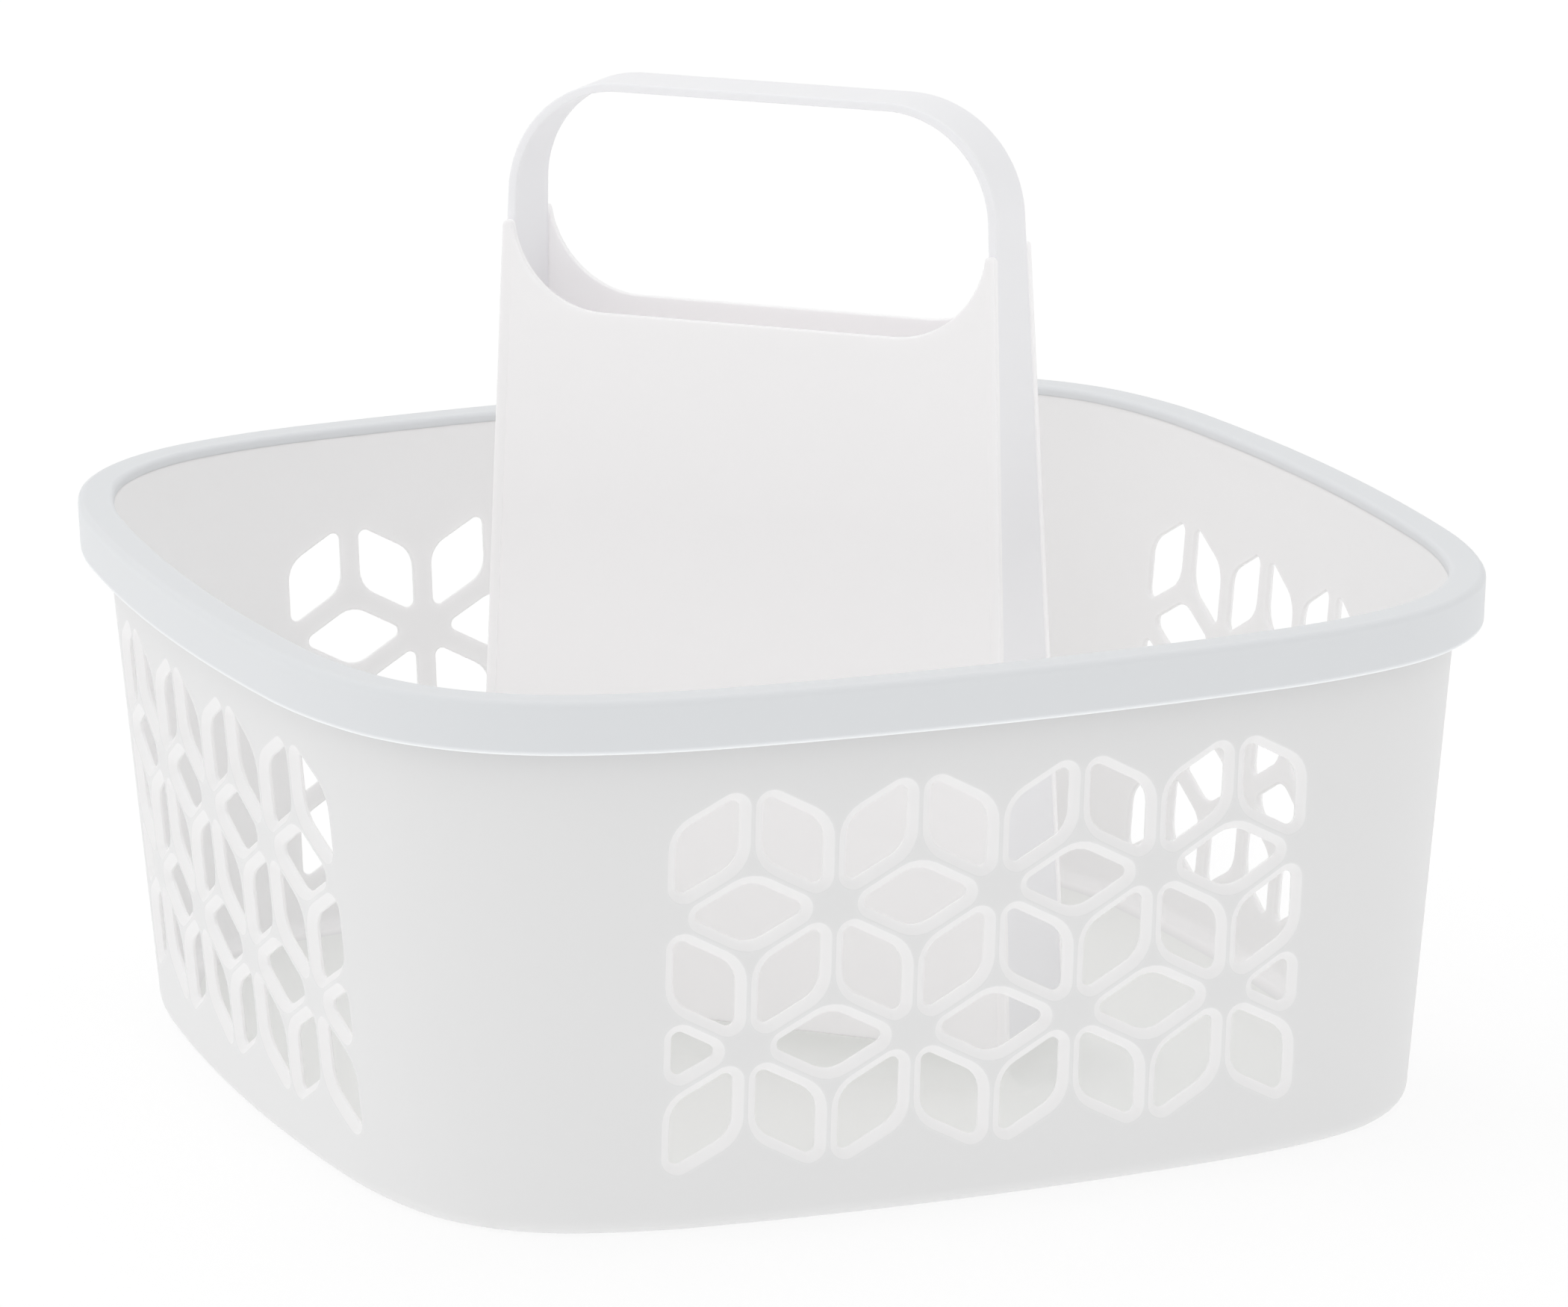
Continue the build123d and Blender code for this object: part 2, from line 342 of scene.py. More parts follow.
def in_loop(spot, loop):
    """Even-odd test of one point."""
    odd = False
    for a, b in zip(loop, loop[1:] + loop[:1]):
        if (a[1] > spot[1]) != (b[1] > spot[1]):
            odd ^= spot[0] < a[0] + (spot[1] - a[1]) / (b[1] - a[1]) * (b[0] - a[0])
    return odd


def hole_light(depth):
    """Value of the inside attribute at a depth in a hole."""
    if SKIN_DEPTH < depth < INNER_DEPTH:
        return THROAT_LIGHT
    return float(depth > SKIN_DEPTH)


def wall_side():
    """One side, from the middle of a corner to the middle of the next."""
    skin, flat, outer_rings, inner_rings = Skin(), {}, [], []
    for outline in HOLES:
        rings = []
        for growth, depth in hole_profile():
            spots = [(turn_at(x, wall_inset(z) + depth), z) for x, z in grown(outline, growth)]
            rings.append(skin.ring([on_side(turn, wall_inset(z) + depth, z) for turn, z in spots],
                                   inside=hole_light(depth)))
            flat.update(zip(rings[-1], [(run(turn), z) for turn, z in spots]))
        skin.bridge(rings)
        outer_rings.append(rings[0])
        inner_rings.append(rings[-1])
    foot_out = foot_arc(FOOT_ROUND_OUT, 0, 0)
    foot_in = foot_arc(FOOT_ROUND_IN, FLOOR_WALL, WALL)
    low_out, top_out = wall_face(skin, flat, outer_rings, 0, foot_out[0][1], flip=False)
    low_in, top_in = wall_face(skin, flat, inner_rings, WALL, foot_in[0][1], flip=True)
    seam = wall_inset(0) + FLOOR_SEAM
    base = foot_out[1:] + [(seam, 0), (seam, FLOOR_WALL)] + foot_in[:0:-1]
    under = [skin.ring([on_side(turn, inset, z) for turn in COLUMN_TURNS],
                       inside=float(k > len(foot_out)))
             for k, (inset, z) in enumerate(base)]
    skin.bridge([low_out] + under + [low_in], closed=False)
    skin.bridge([top_in, top_out], closed=False)
    return skin


side_skin = wall_side()
print("one side:", len(side_skin.points), "points,", len(side_skin.faces), "faces")

# %% [markdown]
# ## Geometry Nodes that repeat a side
# The basket has four equal sides, so a node tree copies the one just made round the middle,
# realizes the copies, joins them where they meet at the corners, and gives them their material.
# The number of sides and the joining distance are named inputs.

# %% Node helpers
def new_tree(name, sockets):
    """Geometry node tree with the given (name, socket type) inputs."""
    tree = bpy.data.node_groups.new(name, "GeometryNodeTree")
    tree.interface.new_socket("Geometry", in_out="INPUT", socket_type="NodeSocketGeometry")
    tree.interface.new_socket("Geometry", in_out="OUTPUT", socket_type="NodeSocketGeometry")
    for label, kind in sockets:
        tree.interface.new_socket(label, in_out="INPUT", socket_type=kind)
    return tree


def add_node(tree, kind, inputs=None, **settings):
    """Adds a node, sets its properties, and fills or links its inputs."""
    node = tree.nodes.new(kind)
    for key, value in settings.items():
        setattr(node, key, value)
    for key, value in (inputs or {}).items():
        if isinstance(value, bpy.types.NodeSocket):
            tree.links.new(value, node.inputs[key])
        else:
            node.inputs[key].default_value = value
    return node


def made_by_nodes(name, mesh, tree, values):
    """Runs a tree on a mesh and returns the result as a plain object."""
    source = bpy.data.objects.new(name, mesh)
    bpy.context.scene.collection.objects.link(source)
    modifier = source.modifiers.new(tree.name, "NODES")
    modifier.node_group = tree
    for item in tree.interface.items_tree:
        if item.in_out == "INPUT" and item.name in values:
            modifier[item.identifier] = values[item.name]
    evaluated = source.evaluated_get(bpy.context.evaluated_depsgraph_get())
    result = bpy.data.meshes.new_from_object(evaluated)
    source.modifiers.clear()
    source.data = result
    return source


print("node helpers ready")

# %% [markdown]
# ## The finish
# The caddy is natural polypropylene: no pigment, so light passes some way into it and comes out
# softened, and a thin edge glows while a thick rim looks greyer. Light that crosses a wall isn't
# simulated. Painted light stands in for it: a small emission, a lighter tint on the inside, and a
# base tint for each section, lighter on the thin panels and greyer on the thick rim. All of these
# were set for this light, section by section: they aren't measured properties of the plastic. The
# satin grain is drawn coarser than the etch of a real mould.

# %% Frosted polypropylene
GRAIN_SCALE, CLOUD_SCALE = 1600.0, 30.0
GRAIN_STRENGTH, GRAIN_DEPTH = 0.15, 0.00008
SMOOTHEST, ROUGHEST = 0.4, 0.5
REFRACTION = 1.49
SUBSURFACE, SUBSURFACE_REACH = 0.6, 0.0008
EDGE_GLOW_START, EDGE_GLOW_FULL = 1.0, 0.2


def paint(hex_colour):
    """sRGB hex value as the linear colour that a shader expects."""
    parts = [int(hex_colour[k:k + 2], 16) / 255 for k in (0, 2, 4)]
    return [p / 12.92 if p <= 0.04045 else ((p + 0.055) / 1.055) ** 2.4 for p in parts] + [1]


def frosted_polypropylene(section, outer_tint, lit_inner_tint, glow, bright_glow, edge_z=None):
    """Plastic of one section. Its two tints are the plastic's pale colour with painted light in them: the
    first, on the outer faces, is lighter or greyer per section for how much light gets through, and the
    second is a lighter tint painted on the inner faces. glow stands in for light from behind, and bright_glow
    for that on the inside, or within a millimetre of a thin edge at height edge_z."""
    material = bpy.data.materials.new("frosted natural polypropylene, " + section)
    material.use_nodes = True
    tree = material.node_tree
    tree.nodes.clear()
    place = add_node(tree, "ShaderNodeTexCoord").outputs["Object"]
    grain = add_node(tree, "ShaderNodeTexNoise", {"Vector": place, "Scale": GRAIN_SCALE, "Detail": 3.0})
    cloud = add_node(tree, "ShaderNodeTexNoise", {"Vector": place, "Scale": CLOUD_SCALE, "Detail": 2.0})
    satin = add_node(tree, "ShaderNodeMapRange", {
        "Value": cloud.outputs["Fac"], "To Min": SMOOTHEST, "To Max": ROUGHEST})
    bump = add_node(tree, "ShaderNodeBump", {
        "Height": grain.outputs["Fac"], "Strength": GRAIN_STRENGTH, "Distance": GRAIN_DEPTH})
    inner_light_mask = add_node(tree, "ShaderNodeAttribute", attribute_name="inside").outputs["Fac"]
    lit = inner_light_mask
    if edge_z is not None:
        split = add_node(tree, "ShaderNodeSeparateXYZ", {"Vector": place})
        lit = add_node(tree, "ShaderNodeMapRange", {
            "Value": split.outputs["Z"], "From Min": (edge_z + EDGE_GLOW_START) * MM,
            "From Max": (edge_z + EDGE_GLOW_FULL) * MM}).outputs[0]
    # Painted light: the inner faces get a lighter tint than the outer ones.
    body = add_node(tree, "ShaderNodeMix", {0: inner_light_mask, 6: paint(outer_tint), 7: paint(lit_inner_tint)},
                    data_type="RGBA")
    through = add_node(tree, "ShaderNodeMix", {0: lit, 6: paint(glow), 7: paint(bright_glow)},
                       data_type="RGBA")
    shader = add_node(tree, "ShaderNodeBsdfPrincipled", {
        "Base Color": body.outputs[2], "Roughness": satin.outputs[0], "IOR": REFRACTION,
        "Normal": bump.outputs["Normal"], "Subsurface Weight": SUBSURFACE, "Subsurface Radius": (1, 1, 1),
        "Subsurface Scale": SUBSURFACE_REACH, "Emission Color": through.outputs[2], "Emission Strength": 1.0})
    add_node(tree, "ShaderNodeOutputMaterial", {"Surface": shader.outputs["BSDF"]})
    return material


# Tints and glows per section are painted light on one plastic: lighter on thin sections and inside, greyer on
# the thick rim.
WALL_PLASTIC = frosted_polypropylene("wall", "ECECEC", "F8F7F7", "000000", "343434")
THIN_PLASTIC = frosted_polypropylene("thin section", "FBF8F9", "FBF8F9", "454545", "5C5C5C")
STRAP_PLASTIC = frosted_polypropylene("strap", "F4F4F7", "F4F4F7", "343434", "343434")
FLOOR_PLASTIC = frosted_polypropylene("floor", "F0F1EF", "F0F1EF", "1E1E1E", "1E1E1E")
THICK_PLASTIC = frosted_polypropylene("folded rim", "E6E8EA", "E6E8EA", "000000", "707070", SKIRT_LOW)
print("materials:", WALL_PLASTIC.name, "/", THIN_PLASTIC.name, "/", THICK_PLASTIC.name)

# %% [markdown]
# ## Finishing a piece
# Each mesh is welded, its normals are turned outwards, and its open edges are counted, which has
# to give none. It then rides on the caddy's only body and takes the place of its CAD node.

# %% Finish a piece
WELD_MM, SLIVER_MM = 0.002, 0.001
SHARP_ANGLE = 40


def finished(piece, node, plastic):
    """Shades a piece, checks that it is closed, and puts it in place of its CAD node."""
    work = bmesh.new()
    work.from_mesh(piece.data)
    bmesh.ops.remove_doubles(work, verts=work.verts, dist=WELD_MM * MM)
    bmesh.ops.dissolve_degenerate(work, edges=work.edges, dist=SLIVER_MM * MM)
    bmesh.ops.recalc_face_normals(work, faces=work.faces)
    open_edges = sum(not edge.is_manifold for edge in work.edges)
    triangles = sum(len(face.verts) - 2 for face in work.faces)
    volume = work.calc_volume(signed=True) * 1e6
    work.to_mesh(piece.data)
    work.free()
    piece.data.materials.clear()
    piece.data.materials.append(plastic)
    piece.data.shade_smooth()
    piece.data.set_sharp_from_angle(angle=math.radians(SHARP_ANGLE))
    weighted = piece.modifiers.new("even shading", "WEIGHTED_NORMAL")
    weighted.keep_sharp = True
    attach(piece, "root")
    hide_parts(node)
    print(f"{piece.name}: {triangles} triangles, {volume:.1f} cm3, {open_edges} open edges")
    return piece


def placed(name, skin):
    piece = bpy.data.objects.new(name, skin.mesh(name))
    bpy.context.scene.collection.objects.link(piece)
    return piece


print("pieces are welded within", WELD_MM, "mm")

# %% [markdown]
# ## The wall, all the way round
# The finished side is repeated by the node tree, once for each side of the basket.

# %% The wall from four sides
SIDES = 4
JOIN_MM = 0.01


def round_tree():
    tree = new_tree("sides round the basket", [
        ("Sides", "NodeSocketInt"), ("Join distance", "NodeSocketFloat"), ("Finish", "NodeSocketMaterial")])
    given = add_node(tree, "NodeGroupInput").outputs
    points = add_node(tree, "GeometryNodePoints", {"Count": given["Sides"]})
    step = add_node(tree, "ShaderNodeMath", {0: math.tau, 1: given["Sides"]}, operation="DIVIDE")
    index = add_node(tree, "GeometryNodeInputIndex")
    turn = add_node(tree, "ShaderNodeMath", {0: index.outputs[0], 1: step.outputs[0]}, operation="MULTIPLY")
    upright = add_node(tree, "ShaderNodeCombineXYZ", {"Z": turn.outputs[0]})
    copies = add_node(tree, "GeometryNodeInstanceOnPoints", {
        "Points": points.outputs[0], "Instance": given["Geometry"], "Rotation": upright.outputs[0]})
    real = add_node(tree, "GeometryNodeRealizeInstances", {"Geometry": copies.outputs[0]})
    joined = add_node(tree, "GeometryNodeMergeByDistance", {
        "Geometry": real.outputs[0], "Distance": given["Join distance"]})
    done = add_node(tree, "GeometryNodeSetMaterial", {
        "Geometry": joined.outputs[0], "Material": given["Finish"]})
    add_node(tree, "NodeGroupOutput", {"Geometry": done.outputs[0]})
    return tree


wall = made_by_nodes("wall", side_skin.mesh("wall"), round_tree(),
                     {"Sides": SIDES, "Join distance": JOIN_MM * MM, "Finish": WALL_PLASTIC})
finished(wall, "basket_wall", WALL_PLASTIC)

# %% [markdown]
# ## The rolled rim
# The rim has the same section all the way round: a flat top, a skirt that hangs outside the wall,
# and a hollow below. A section swept along a path is what Curve to Mesh does, so the outline is
# drawn as a curve, and the section as a second one, measured outwards and downwards from it.

# %% Rim section and sweep
SKIRT_WALL, SKIRT_DRAFT = 1.9, 0.4
RIM_OUTER_ROUND, RIM_INNER_ROUND, SKIRT_EDGE_ROUND, POCKET_ROUND = 1.6, 1.2, 0.6, 0.8


def closed_curve(name, points):
    curve = bpy.data.curves.new(name, "CURVE")
    curve.dimensions = "3D"
    spline = curve.splines.new("POLY")
    spline.points.add(len(points) - 1)
    for point, place in zip(spline.points, points):
        point.co = (*(Vector(place) * MM), 1)
    spline.use_cyclic_u = True
    drawn = bpy.data.objects.new(name, curve)
    bpy.context.scene.collection.objects.link(drawn)
    return drawn


def rim_section():
    """(inset, z) corners of the rim's section and their rounds."""
    mouth_low, mouth_top = wall_inset(WALL_TOP) + WALL, wall_inset(RIM_TOP) + WALL
    corners = [
        (SKIRT_DRAFT, SKIRT_LOW, SKIRT_EDGE_ROUND),
        (SKIRT_DRAFT + SKIRT_WALL, SKIRT_LOW, SKIRT_EDGE_ROUND),
        (SKIRT_WALL, WALL_TOP, POCKET_ROUND), (mouth_low, WALL_TOP, 0),
        (mouth_top, RIM_TOP, RIM_INNER_ROUND), (0, RIM_TOP, RIM_OUTER_ROUND),
    ]
    return [spot for spot, _ in rounded([c[:2] for c in corners], [c[2] for c in corners], step=15)]


def sweep_tree():
    tree = new_tree("section swept along a path", [
        ("Path", "NodeSocketObject"), ("Section", "NodeSocketObject"), ("Finish", "NodeSocketMaterial")])
    given = add_node(tree, "NodeGroupInput").outputs
    path = add_node(tree, "GeometryNodeObjectInfo", {"Object": given["Path"]})
    level = add_node(tree, "GeometryNodeSetCurveNormal", {"Curve": path.outputs["Geometry"]}, mode="Z_UP")
    section = add_node(tree, "GeometryNodeObjectInfo", {"Object": given["Section"]})
    swept = add_node(tree, "GeometryNodeCurveToMesh", {
        "Curve": level.outputs[0], "Profile Curve": section.outputs["Geometry"]})
    real = add_node(tree, "GeometryNodeRealizeInstances", {"Geometry": swept.outputs[0]})
    done = add_node(tree, "GeometryNodeSetMaterial", {
        "Geometry": real.outputs[0], "Material": given["Finish"]})
    add_node(tree, "NodeGroupOutput", {"Geometry": done.outputs[0]})
    return tree


def rim_path():
    fine = []
    for turn, after in zip(COLUMN_TURNS, COLUMN_TURNS[1:]):
        fine += [turn + (after - turn) * k / 3 for k in range(3)]
    side = [Vector(on_side(turn, 0, 0)) for turn in fine]
    return [Matrix.Rotation(math.radians(90 * k), 3, "Z") @ spot for k in range(4) for spot in side]


path = closed_curve("rim path", rim_path())
section = closed_curve("rim section", [(-inset, -z, 0) for inset, z in rim_section()])
rim = made_by_nodes("rim", bpy.data.meshes.new("rim"), sweep_tree(),
                    {"Path": path, "Section": section, "Finish": THICK_PLASTIC})
for drawn in (path, section):
    bpy.data.objects.remove(drawn)
finished(rim, "rolled_rim", THICK_PLASTIC)

# %% [markdown]
# ## The tower
# The tower is two tapered panels with a strap between them. Both panels and the strap are plates:
# an outline in the tower's own upright plane, a front face and a back face, and a small round
# along every edge, which catches the light as a moulded edge does. The tower is made square to
# the axes and then turned across the basket.

# %% Tower sizes and the plate tool
TIP_HALF_LENGTH, LENGTH_DRAFT = 58.3, 0.0341
TIP_HALF_DEPTH, DEPTH_DRAFT = 10.75, 0.0419
PANEL_WALL = 1.9
EDGE_ROUND = 0.4
ACROSS = -45


def half_length(z):
    return TIP_HALF_LENGTH + LENGTH_DRAFT * (TIP_TOP - z)


def half_depth(z):
    return TIP_HALF_DEPTH + DEPTH_DRAFT * (TIP_TOP - z)


def across(points, degrees=ACROSS):
    """Points turned from the tower's own frame into the basket's."""
    turn = Matrix.Rotation(math.radians(degrees), 3, "Z")
    return [turn @ Vector(p) for p in points]


def plate(outline, front, back, degrees, creases=()):
    """Plate between two faces, given as y at (x, z). Its foot stays sharp, to stand flush."""
    skin, flat, rings = Skin(), {}, []
    outline = [(spot, Vector((normal.x, 0)) if abs(spot.y - FOOT_TOP) < 1e-6 else normal)
               for spot, normal in outline]
    angles = [math.radians(22.5 * k) for k in range(5)]
    rounds = [(EDGE_ROUND * (math.sin(a) - 1), EDGE_ROUND * (1 - math.cos(a))) for a in angles]
    for face, inwards in ((front, 1), (back, -1)):
        for growth, depth in rounds if inwards > 0 else rounds[::-1]:
            spots = grown(outline, growth)
            rings.append(skin.ring(across([(x, face(x, z) + depth * inwards, z) for x, z in spots], degrees),
                                   inside=float(inwards < 0)))
            flat.update(zip(rings[-1], [tuple(spot) for spot in spots]))
    skin.bridge(rings)
    first, last = rings[0], rings[-1]
    pairs = []
    for crease in creases:
        ends = [min(first, key=lambda i: (Vector(flat[i]) - end).length) for end in crease]
        pairs.append(tuple(ends))
    skin.fill(flat, [first], creases=pairs)
    skin.fill(flat, [last], flip=True)
    return skin


print("tower foot", round(2 * half_length(FOOT_TOP), 1), "x", round(2 * half_depth(FOOT_TOP), 1), "mm")

# %% [markdown]
# ## The two panels
# A panel has a raised bead up each edge and a cut-out for the hand at the top. The arc of the
# cut-out starts below the small rounds at the tips, so that they don't overlap.

# %% Panels
BEAD_WIDTH, BEAD_RISE, BEAD_SLOPE, BEAD_STOP = 2.2, 0.3, 0.12, 2.5
CUT_LOW, CUT_ROUND = 165.7, 21.5
CUT_START, CUT_STEPS = 9.6, 26
TIP_OUTER_ROUND, TIP_INNER_ROUND = 1.1, 1.0


def bead_depth(x, z):
    """How far the panel's face lies behind the crest of its edge beads."""
    edge = half_length(z) - abs(x)
    share = min(1, max(0, (edge - BEAD_WIDTH + BEAD_SLOPE) / (2 * BEAD_SLOPE)))
    return BEAD_RISE * share


def panel_outline():
    foot, tip = half_length(FOOT_TOP), half_length(TIP_TOP)
    centre_x, centre_z = tip - BEAD_WIDTH - CUT_ROUND, CUT_LOW + CUT_ROUND
    start = math.asin((centre_z - TIP_TOP) / CUT_ROUND)
    inner_tip = centre_x + CUT_ROUND * math.cos(start)
    angles = [math.radians(CUT_START + (90 - CUT_START) * k / CUT_STEPS) for k in range(CUT_STEPS + 1)]
    arc = [(centre_x + CUT_ROUND * math.cos(a), centre_z - CUT_ROUND * math.sin(a), 0) for a in angles]
    crease_feet = [(foot - BEAD_WIDTH - slope, FOOT_TOP, 0) for slope in (BEAD_SLOPE, -BEAD_SLOPE)]
    right = crease_feet + [(foot, FOOT_TOP, 0), (tip, TIP_TOP, TIP_OUTER_ROUND),
                           (inner_tip, TIP_TOP, TIP_INNER_ROUND)] + arc
    whole = right + [(-x, z, radius) for x, z, radius in right[::-1]]
    return rounded([c[:2] for c in whole], [c[2] for c in whole], step=18)


def panel(degrees):
    creases = []
    for sign in (-1, 1):
        for slope in (BEAD_SLOPE, -BEAD_SLOPE):
            heights = (FOOT_TOP, TIP_TOP - BEAD_STOP)
            ends = [(sign * (half_length(z) - BEAD_WIDTH - slope), z) for z in heights]
            creases.append([Vector(end) for end in ends])
    return plate(panel_outline(), lambda x, z: bead_depth(x, z) - half_depth(z),
                 lambda x, z: PANEL_WALL - half_depth(z), degrees, creases)


finished(placed("front-panel", panel(ACROSS)), "tower_front_panel", THIN_PLASTIC)
finished(placed("back-panel", panel(ACROSS + 180)), "tower_back_panel", THIN_PLASTIC)

# %% [markdown]
# ## The strap handle
# One strip of even thickness forms both ends of the tower and the arch of the handle.

# %% Strap handle
STRAP_WALL, STRAP_INSET, STRAP_ROUND = 1.95, 0.25, 26.0


def strap_outline():
    low, high = half_length(FOOT_TOP) - STRAP_INSET, half_length(HANDLE_TOP) - STRAP_INSET
    inner_top = HANDLE_TOP - STRAP_WALL
    outer = [(low, FOOT_TOP, 0), (high, HANDLE_TOP, STRAP_ROUND),
             (-high, HANDLE_TOP, STRAP_ROUND), (-low, FOOT_TOP, 0)]
    low, high, bend = low - STRAP_WALL, high - STRAP_WALL, STRAP_ROUND - STRAP_WALL
    inner = [(-low, FOOT_TOP, 0), (-high, inner_top, bend), (high, inner_top, bend), (low, FOOT_TOP, 0)]
    whole = outer + inner
    return rounded([c[:2] for c in whole], [c[2] for c in whole], step=3.5)


strap = plate(strap_outline(), lambda x, z: PANEL_WALL - half_depth(z),
              lambda x, z: half_depth(z) - PANEL_WALL, ACROSS)
finished(placed("strap-handle", strap), "handle_strap", STRAP_PLASTIC)

# %% [markdown]
# ## The floor
# The floor plate carries the tower on a filleted collar and drains through two groups of round
# holes in the corners that the tower leaves free. The tower is hollow right through the floor,
# so that caddies nest.

# %% Floor plate with its collar and drains
COLLAR_ROUND, COLLAR_CORNER = 6.0, 0.4
DRAIN_DIAMETER, DRAIN_PITCH, DRAIN_ROWS, DRAIN_CORNER = 6.0, 13.0, 4, 84.0
DRAIN_EDGE, DRAIN_UNDER_EDGE, DRAIN_STEPS = 0.4, 0.2, 24
COLLAR_STEPS, HOLLOW_CORNER = 8, 0.2


def foot_ring(skin, flat, half_x, half_y, corner, z):
    """Rounded rectangle round the tower's foot."""
    corners = [(-half_x, -half_y), (half_x, -half_y), (half_x, half_y), (-half_x, half_y)]
    spots = across([(*spot, z) for spot, _ in rounded(corners, [corner] * 4, step=15, mids=7)])
    ring = skin.ring(spots)
    flat.update(zip(ring, [tuple(spot.xy) for spot in spots]))
    return ring


def drain_places():
    for sign in (-1, 1):
        for row in range(DRAIN_ROWS):
            for place in range(DRAIN_ROWS - row):
                yield sign * (DRAIN_CORNER - row * DRAIN_PITCH), sign * (DRAIN_CORNER - place * DRAIN_PITCH)


def drain_profile():
    """(radius, z) down a drain: a rounded upper edge, the bore, and a small lower chamfer."""
    bore = DRAIN_DIAMETER / 2
    return ((bore + DRAIN_EDGE, FLOOR_WALL), (bore + 0.12, FLOOR_WALL - 0.12),
            (bore, FLOOR_WALL - DRAIN_EDGE), (bore, DRAIN_UNDER_EDGE), (bore + DRAIN_UNDER_EDGE, 0))


def floor_skin():
    skin, flat = Skin(), {}
    seam = wall_inset(0) + FLOOR_SEAM
    edges = []
    for z in (0, FLOOR_WALL):
        side = [Vector(on_side(turn, seam, z)) for turn in COLUMN_TURNS[:-1]]
        spots = [Matrix.Rotation(math.radians(90 * k), 3, "Z") @ spot for k in range(4) for spot in side]
        edges.append(skin.ring(spots))
        flat.update(zip(edges[-1], [tuple(spot.xy) for spot in spots]))
    skin.bridge(edges)
    centre_z = FLOOR_WALL + COLLAR_ROUND
    collar = [(0, FOOT_TOP)]
    for k in range(COLLAR_STEPS + 1):
        a = math.pi / 2 * k / COLLAR_STEPS
        collar.append((COLLAR_ROUND * (1 - math.cos(a)), centre_z - COLLAR_ROUND * math.sin(a)))
    rings = []
    for out, z in collar[::-1]:
        rings.append(foot_ring(skin, flat, half_length(z) + out, half_depth(z) + out,
                               COLLAR_CORNER + out, z))
    hollow = []
    for z in (FOOT_TOP, 0):
        reach = half_length(z) - STRAP_INSET - STRAP_WALL
        hollow.append(foot_ring(skin, flat, reach, half_depth(z) - PANEL_WALL, HOLLOW_CORNER, z))
    skin.bridge(rings + hollow)
    tops, bottoms = [], []
    for x, y in drain_places():
        drain = []
        for radius, z in drain_profile():
            angles = [math.tau * k / DRAIN_STEPS for k in range(DRAIN_STEPS)]
            spots = [(x + radius * math.cos(a), y + radius * math.sin(a), z) for a in angles]
            drain.append(skin.ring(spots))
            flat.update(zip(drain[-1], [spot[:2] for spot in spots]))
        skin.bridge(drain)
        tops.append(drain[0])
        bottoms.append(drain[-1])
    skin.fill(flat, [edges[1], rings[0]] + tops)
    skin.fill(flat, [edges[0], hollow[-1]] + bottoms, flip=True)
    return skin


finished(placed("floor-plate", floor_skin()), "basket_floor", FLOOR_PLASTIC)

# %% [markdown]
# ## Floor, light and camera
# A glowing white table and a white room give the soft light of a product studio. The plastic has
# no colour of its own, so its shape shows only through gentle differences in what each face sees:
# the room is brighter overhead than at its walls, and one side of it is dimmer than the other.

# %% Light table
TABLE_GLOW = 0.66
TABLE_COLOUR, TABLE_ROUGHNESS = "A0A0A0", 0.9


def make_table():
    mesh = bpy.data.meshes.new("table")
    reach = 6.0
    mesh.from_pydata([(-reach, -reach, 0), (reach, -reach, 0), (reach, reach, 0), (-reach, reach, 0)],
                     [], [(0, 1, 2, 3)])
    table = bpy.data.objects.new("table", mesh)
    bpy.context.scene.collection.objects.link(table)
    material = bpy.data.materials.new("opal acrylic light table")
    material.use_nodes = True
    shader = material.node_tree.nodes["Principled BSDF"]
    shader.inputs["Base Color"].default_value = paint(TABLE_COLOUR)
    shader.inputs["Roughness"].default_value = TABLE_ROUGHNESS
    shader.inputs["Emission Color"].default_value = paint("FFFFFF")
    shader.inputs["Emission Strength"].default_value = TABLE_GLOW
    mesh.materials.append(material)
    print("table", 2 * reach, "m square")


make_table()

# %% [markdown]
# ## The room
# The room is a world background whose strength rises with height and falls off to one side.

# %% Studio light
HORIZON, OVERHEAD = 0.78, 1.12
BRIGHT_SIDE, DIM_SIDE = 1.1, 0.8
DIM_WAY = (0.6, -0.8, 0.0)
RISE_FROM, RISE_TO = 0.3, 0.95


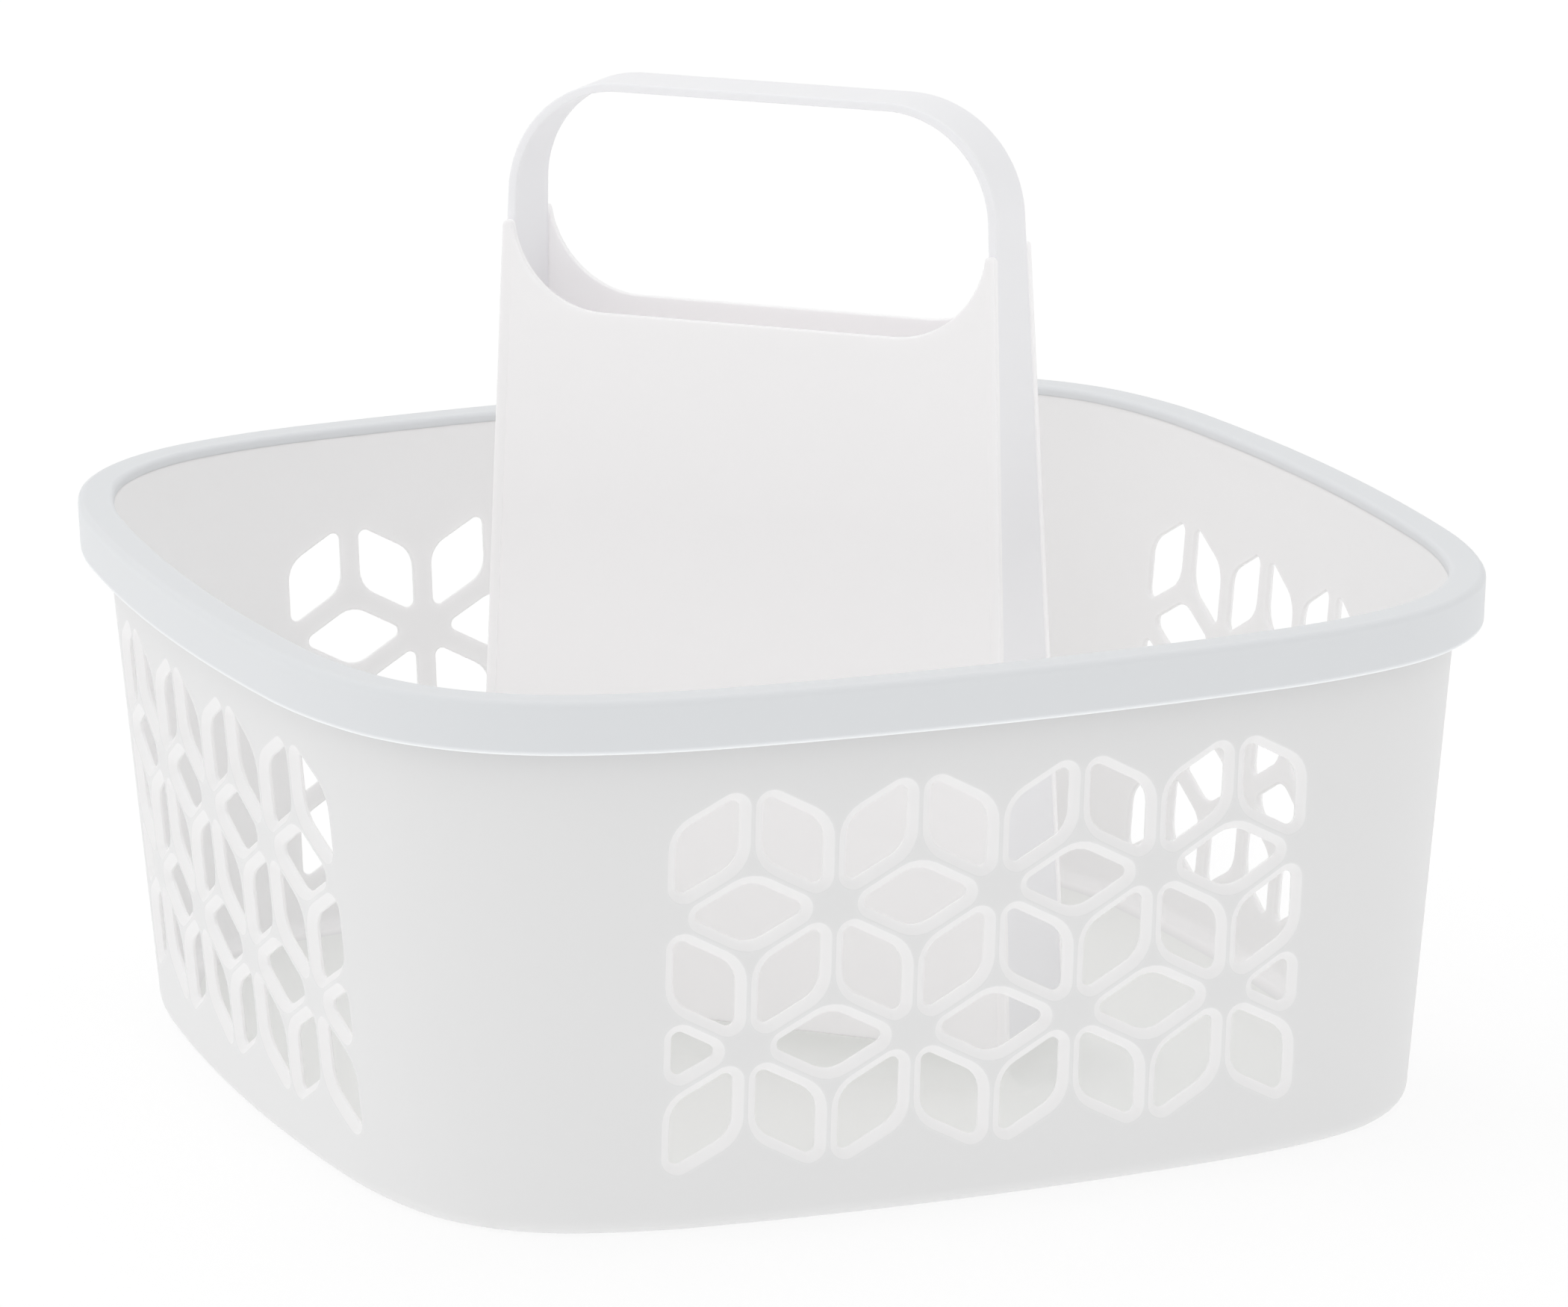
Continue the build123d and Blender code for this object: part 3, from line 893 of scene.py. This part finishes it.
def studio_room():
    """White room: brighter overhead than at its walls, and dimmer on one side."""
    world = bpy.data.worlds.new("white studio")
    bpy.context.scene.world = world
    world.use_nodes = True
    tree = world.node_tree
    tree.nodes.clear()
    place = add_node(tree, "ShaderNodeTexCoord")
    split = add_node(tree, "ShaderNodeSeparateXYZ", {"Vector": place.outputs["Generated"]})
    fade = add_node(tree, "ShaderNodeMapRange", {
        "Value": split.outputs["Z"], "From Min": RISE_FROM, "From Max": RISE_TO,
        "To Min": HORIZON, "To Max": OVERHEAD})
    across_room = add_node(tree, "ShaderNodeVectorMath", {0: place.outputs["Generated"], 1: DIM_WAY},
                           operation="DOT_PRODUCT")
    side = add_node(tree, "ShaderNodeMapRange", {
        "Value": across_room.outputs["Value"], "From Min": -1.0, "From Max": 1.0,
        "To Min": BRIGHT_SIDE, "To Max": DIM_SIDE})
    both = add_node(tree, "ShaderNodeMath", {0: fade.outputs[0], 1: side.outputs[0]}, operation="MULTIPLY")
    back = add_node(tree, "ShaderNodeBackground", {"Color": (1, 1, 1, 1), "Strength": both.outputs[0]})
    add_node(tree, "ShaderNodeOutputWorld", {"Surface": back.outputs[0]})
    print("room light", HORIZON, "at the walls and", OVERHEAD, "overhead")


studio_room()
bpy.context.scene.view_settings.view_transform = "Standard"

# %% [markdown]
# ## The camera
# A long lens from well back keeps the sides of the basket nearly parallel.

# %% Camera
YAW, PITCH, ROLL = -21.657, -14.275, -0.34
CAMERA_PLACE = (-0.6358, -1.6111, 0.5301)
LENS, SENSOR = 185.5, 36


def make_camera():
    yaw, pitch, roll = (math.radians(a) for a in (YAW, PITCH, ROLL))
    look = Vector((-math.sin(yaw) * math.cos(pitch), math.cos(yaw) * math.cos(pitch), math.sin(pitch)))
    right = Vector((math.cos(yaw), math.sin(yaw), 0))
    up = right.cross(look)
    level = right * math.cos(roll) + up * math.sin(roll)
    upright = up * math.cos(roll) - right * math.sin(roll)
    data = bpy.data.cameras.new("camera")
    data.sensor_width, data.lens = SENSOR, LENS
    data.clip_start, data.clip_end = 0.05, 50
    camera = bpy.data.objects.new("camera", data)
    camera.matrix_world = Matrix.Translation(CAMERA_PLACE) @ Matrix(
        (level, upright, -look)).transposed().to_4x4()
    bpy.context.scene.collection.objects.link(camera)
    bpy.context.scene.camera = camera
    print("camera with a", LENS, "mm lens,", round(Vector(CAMERA_PLACE).length, 2), "m away")


make_camera()
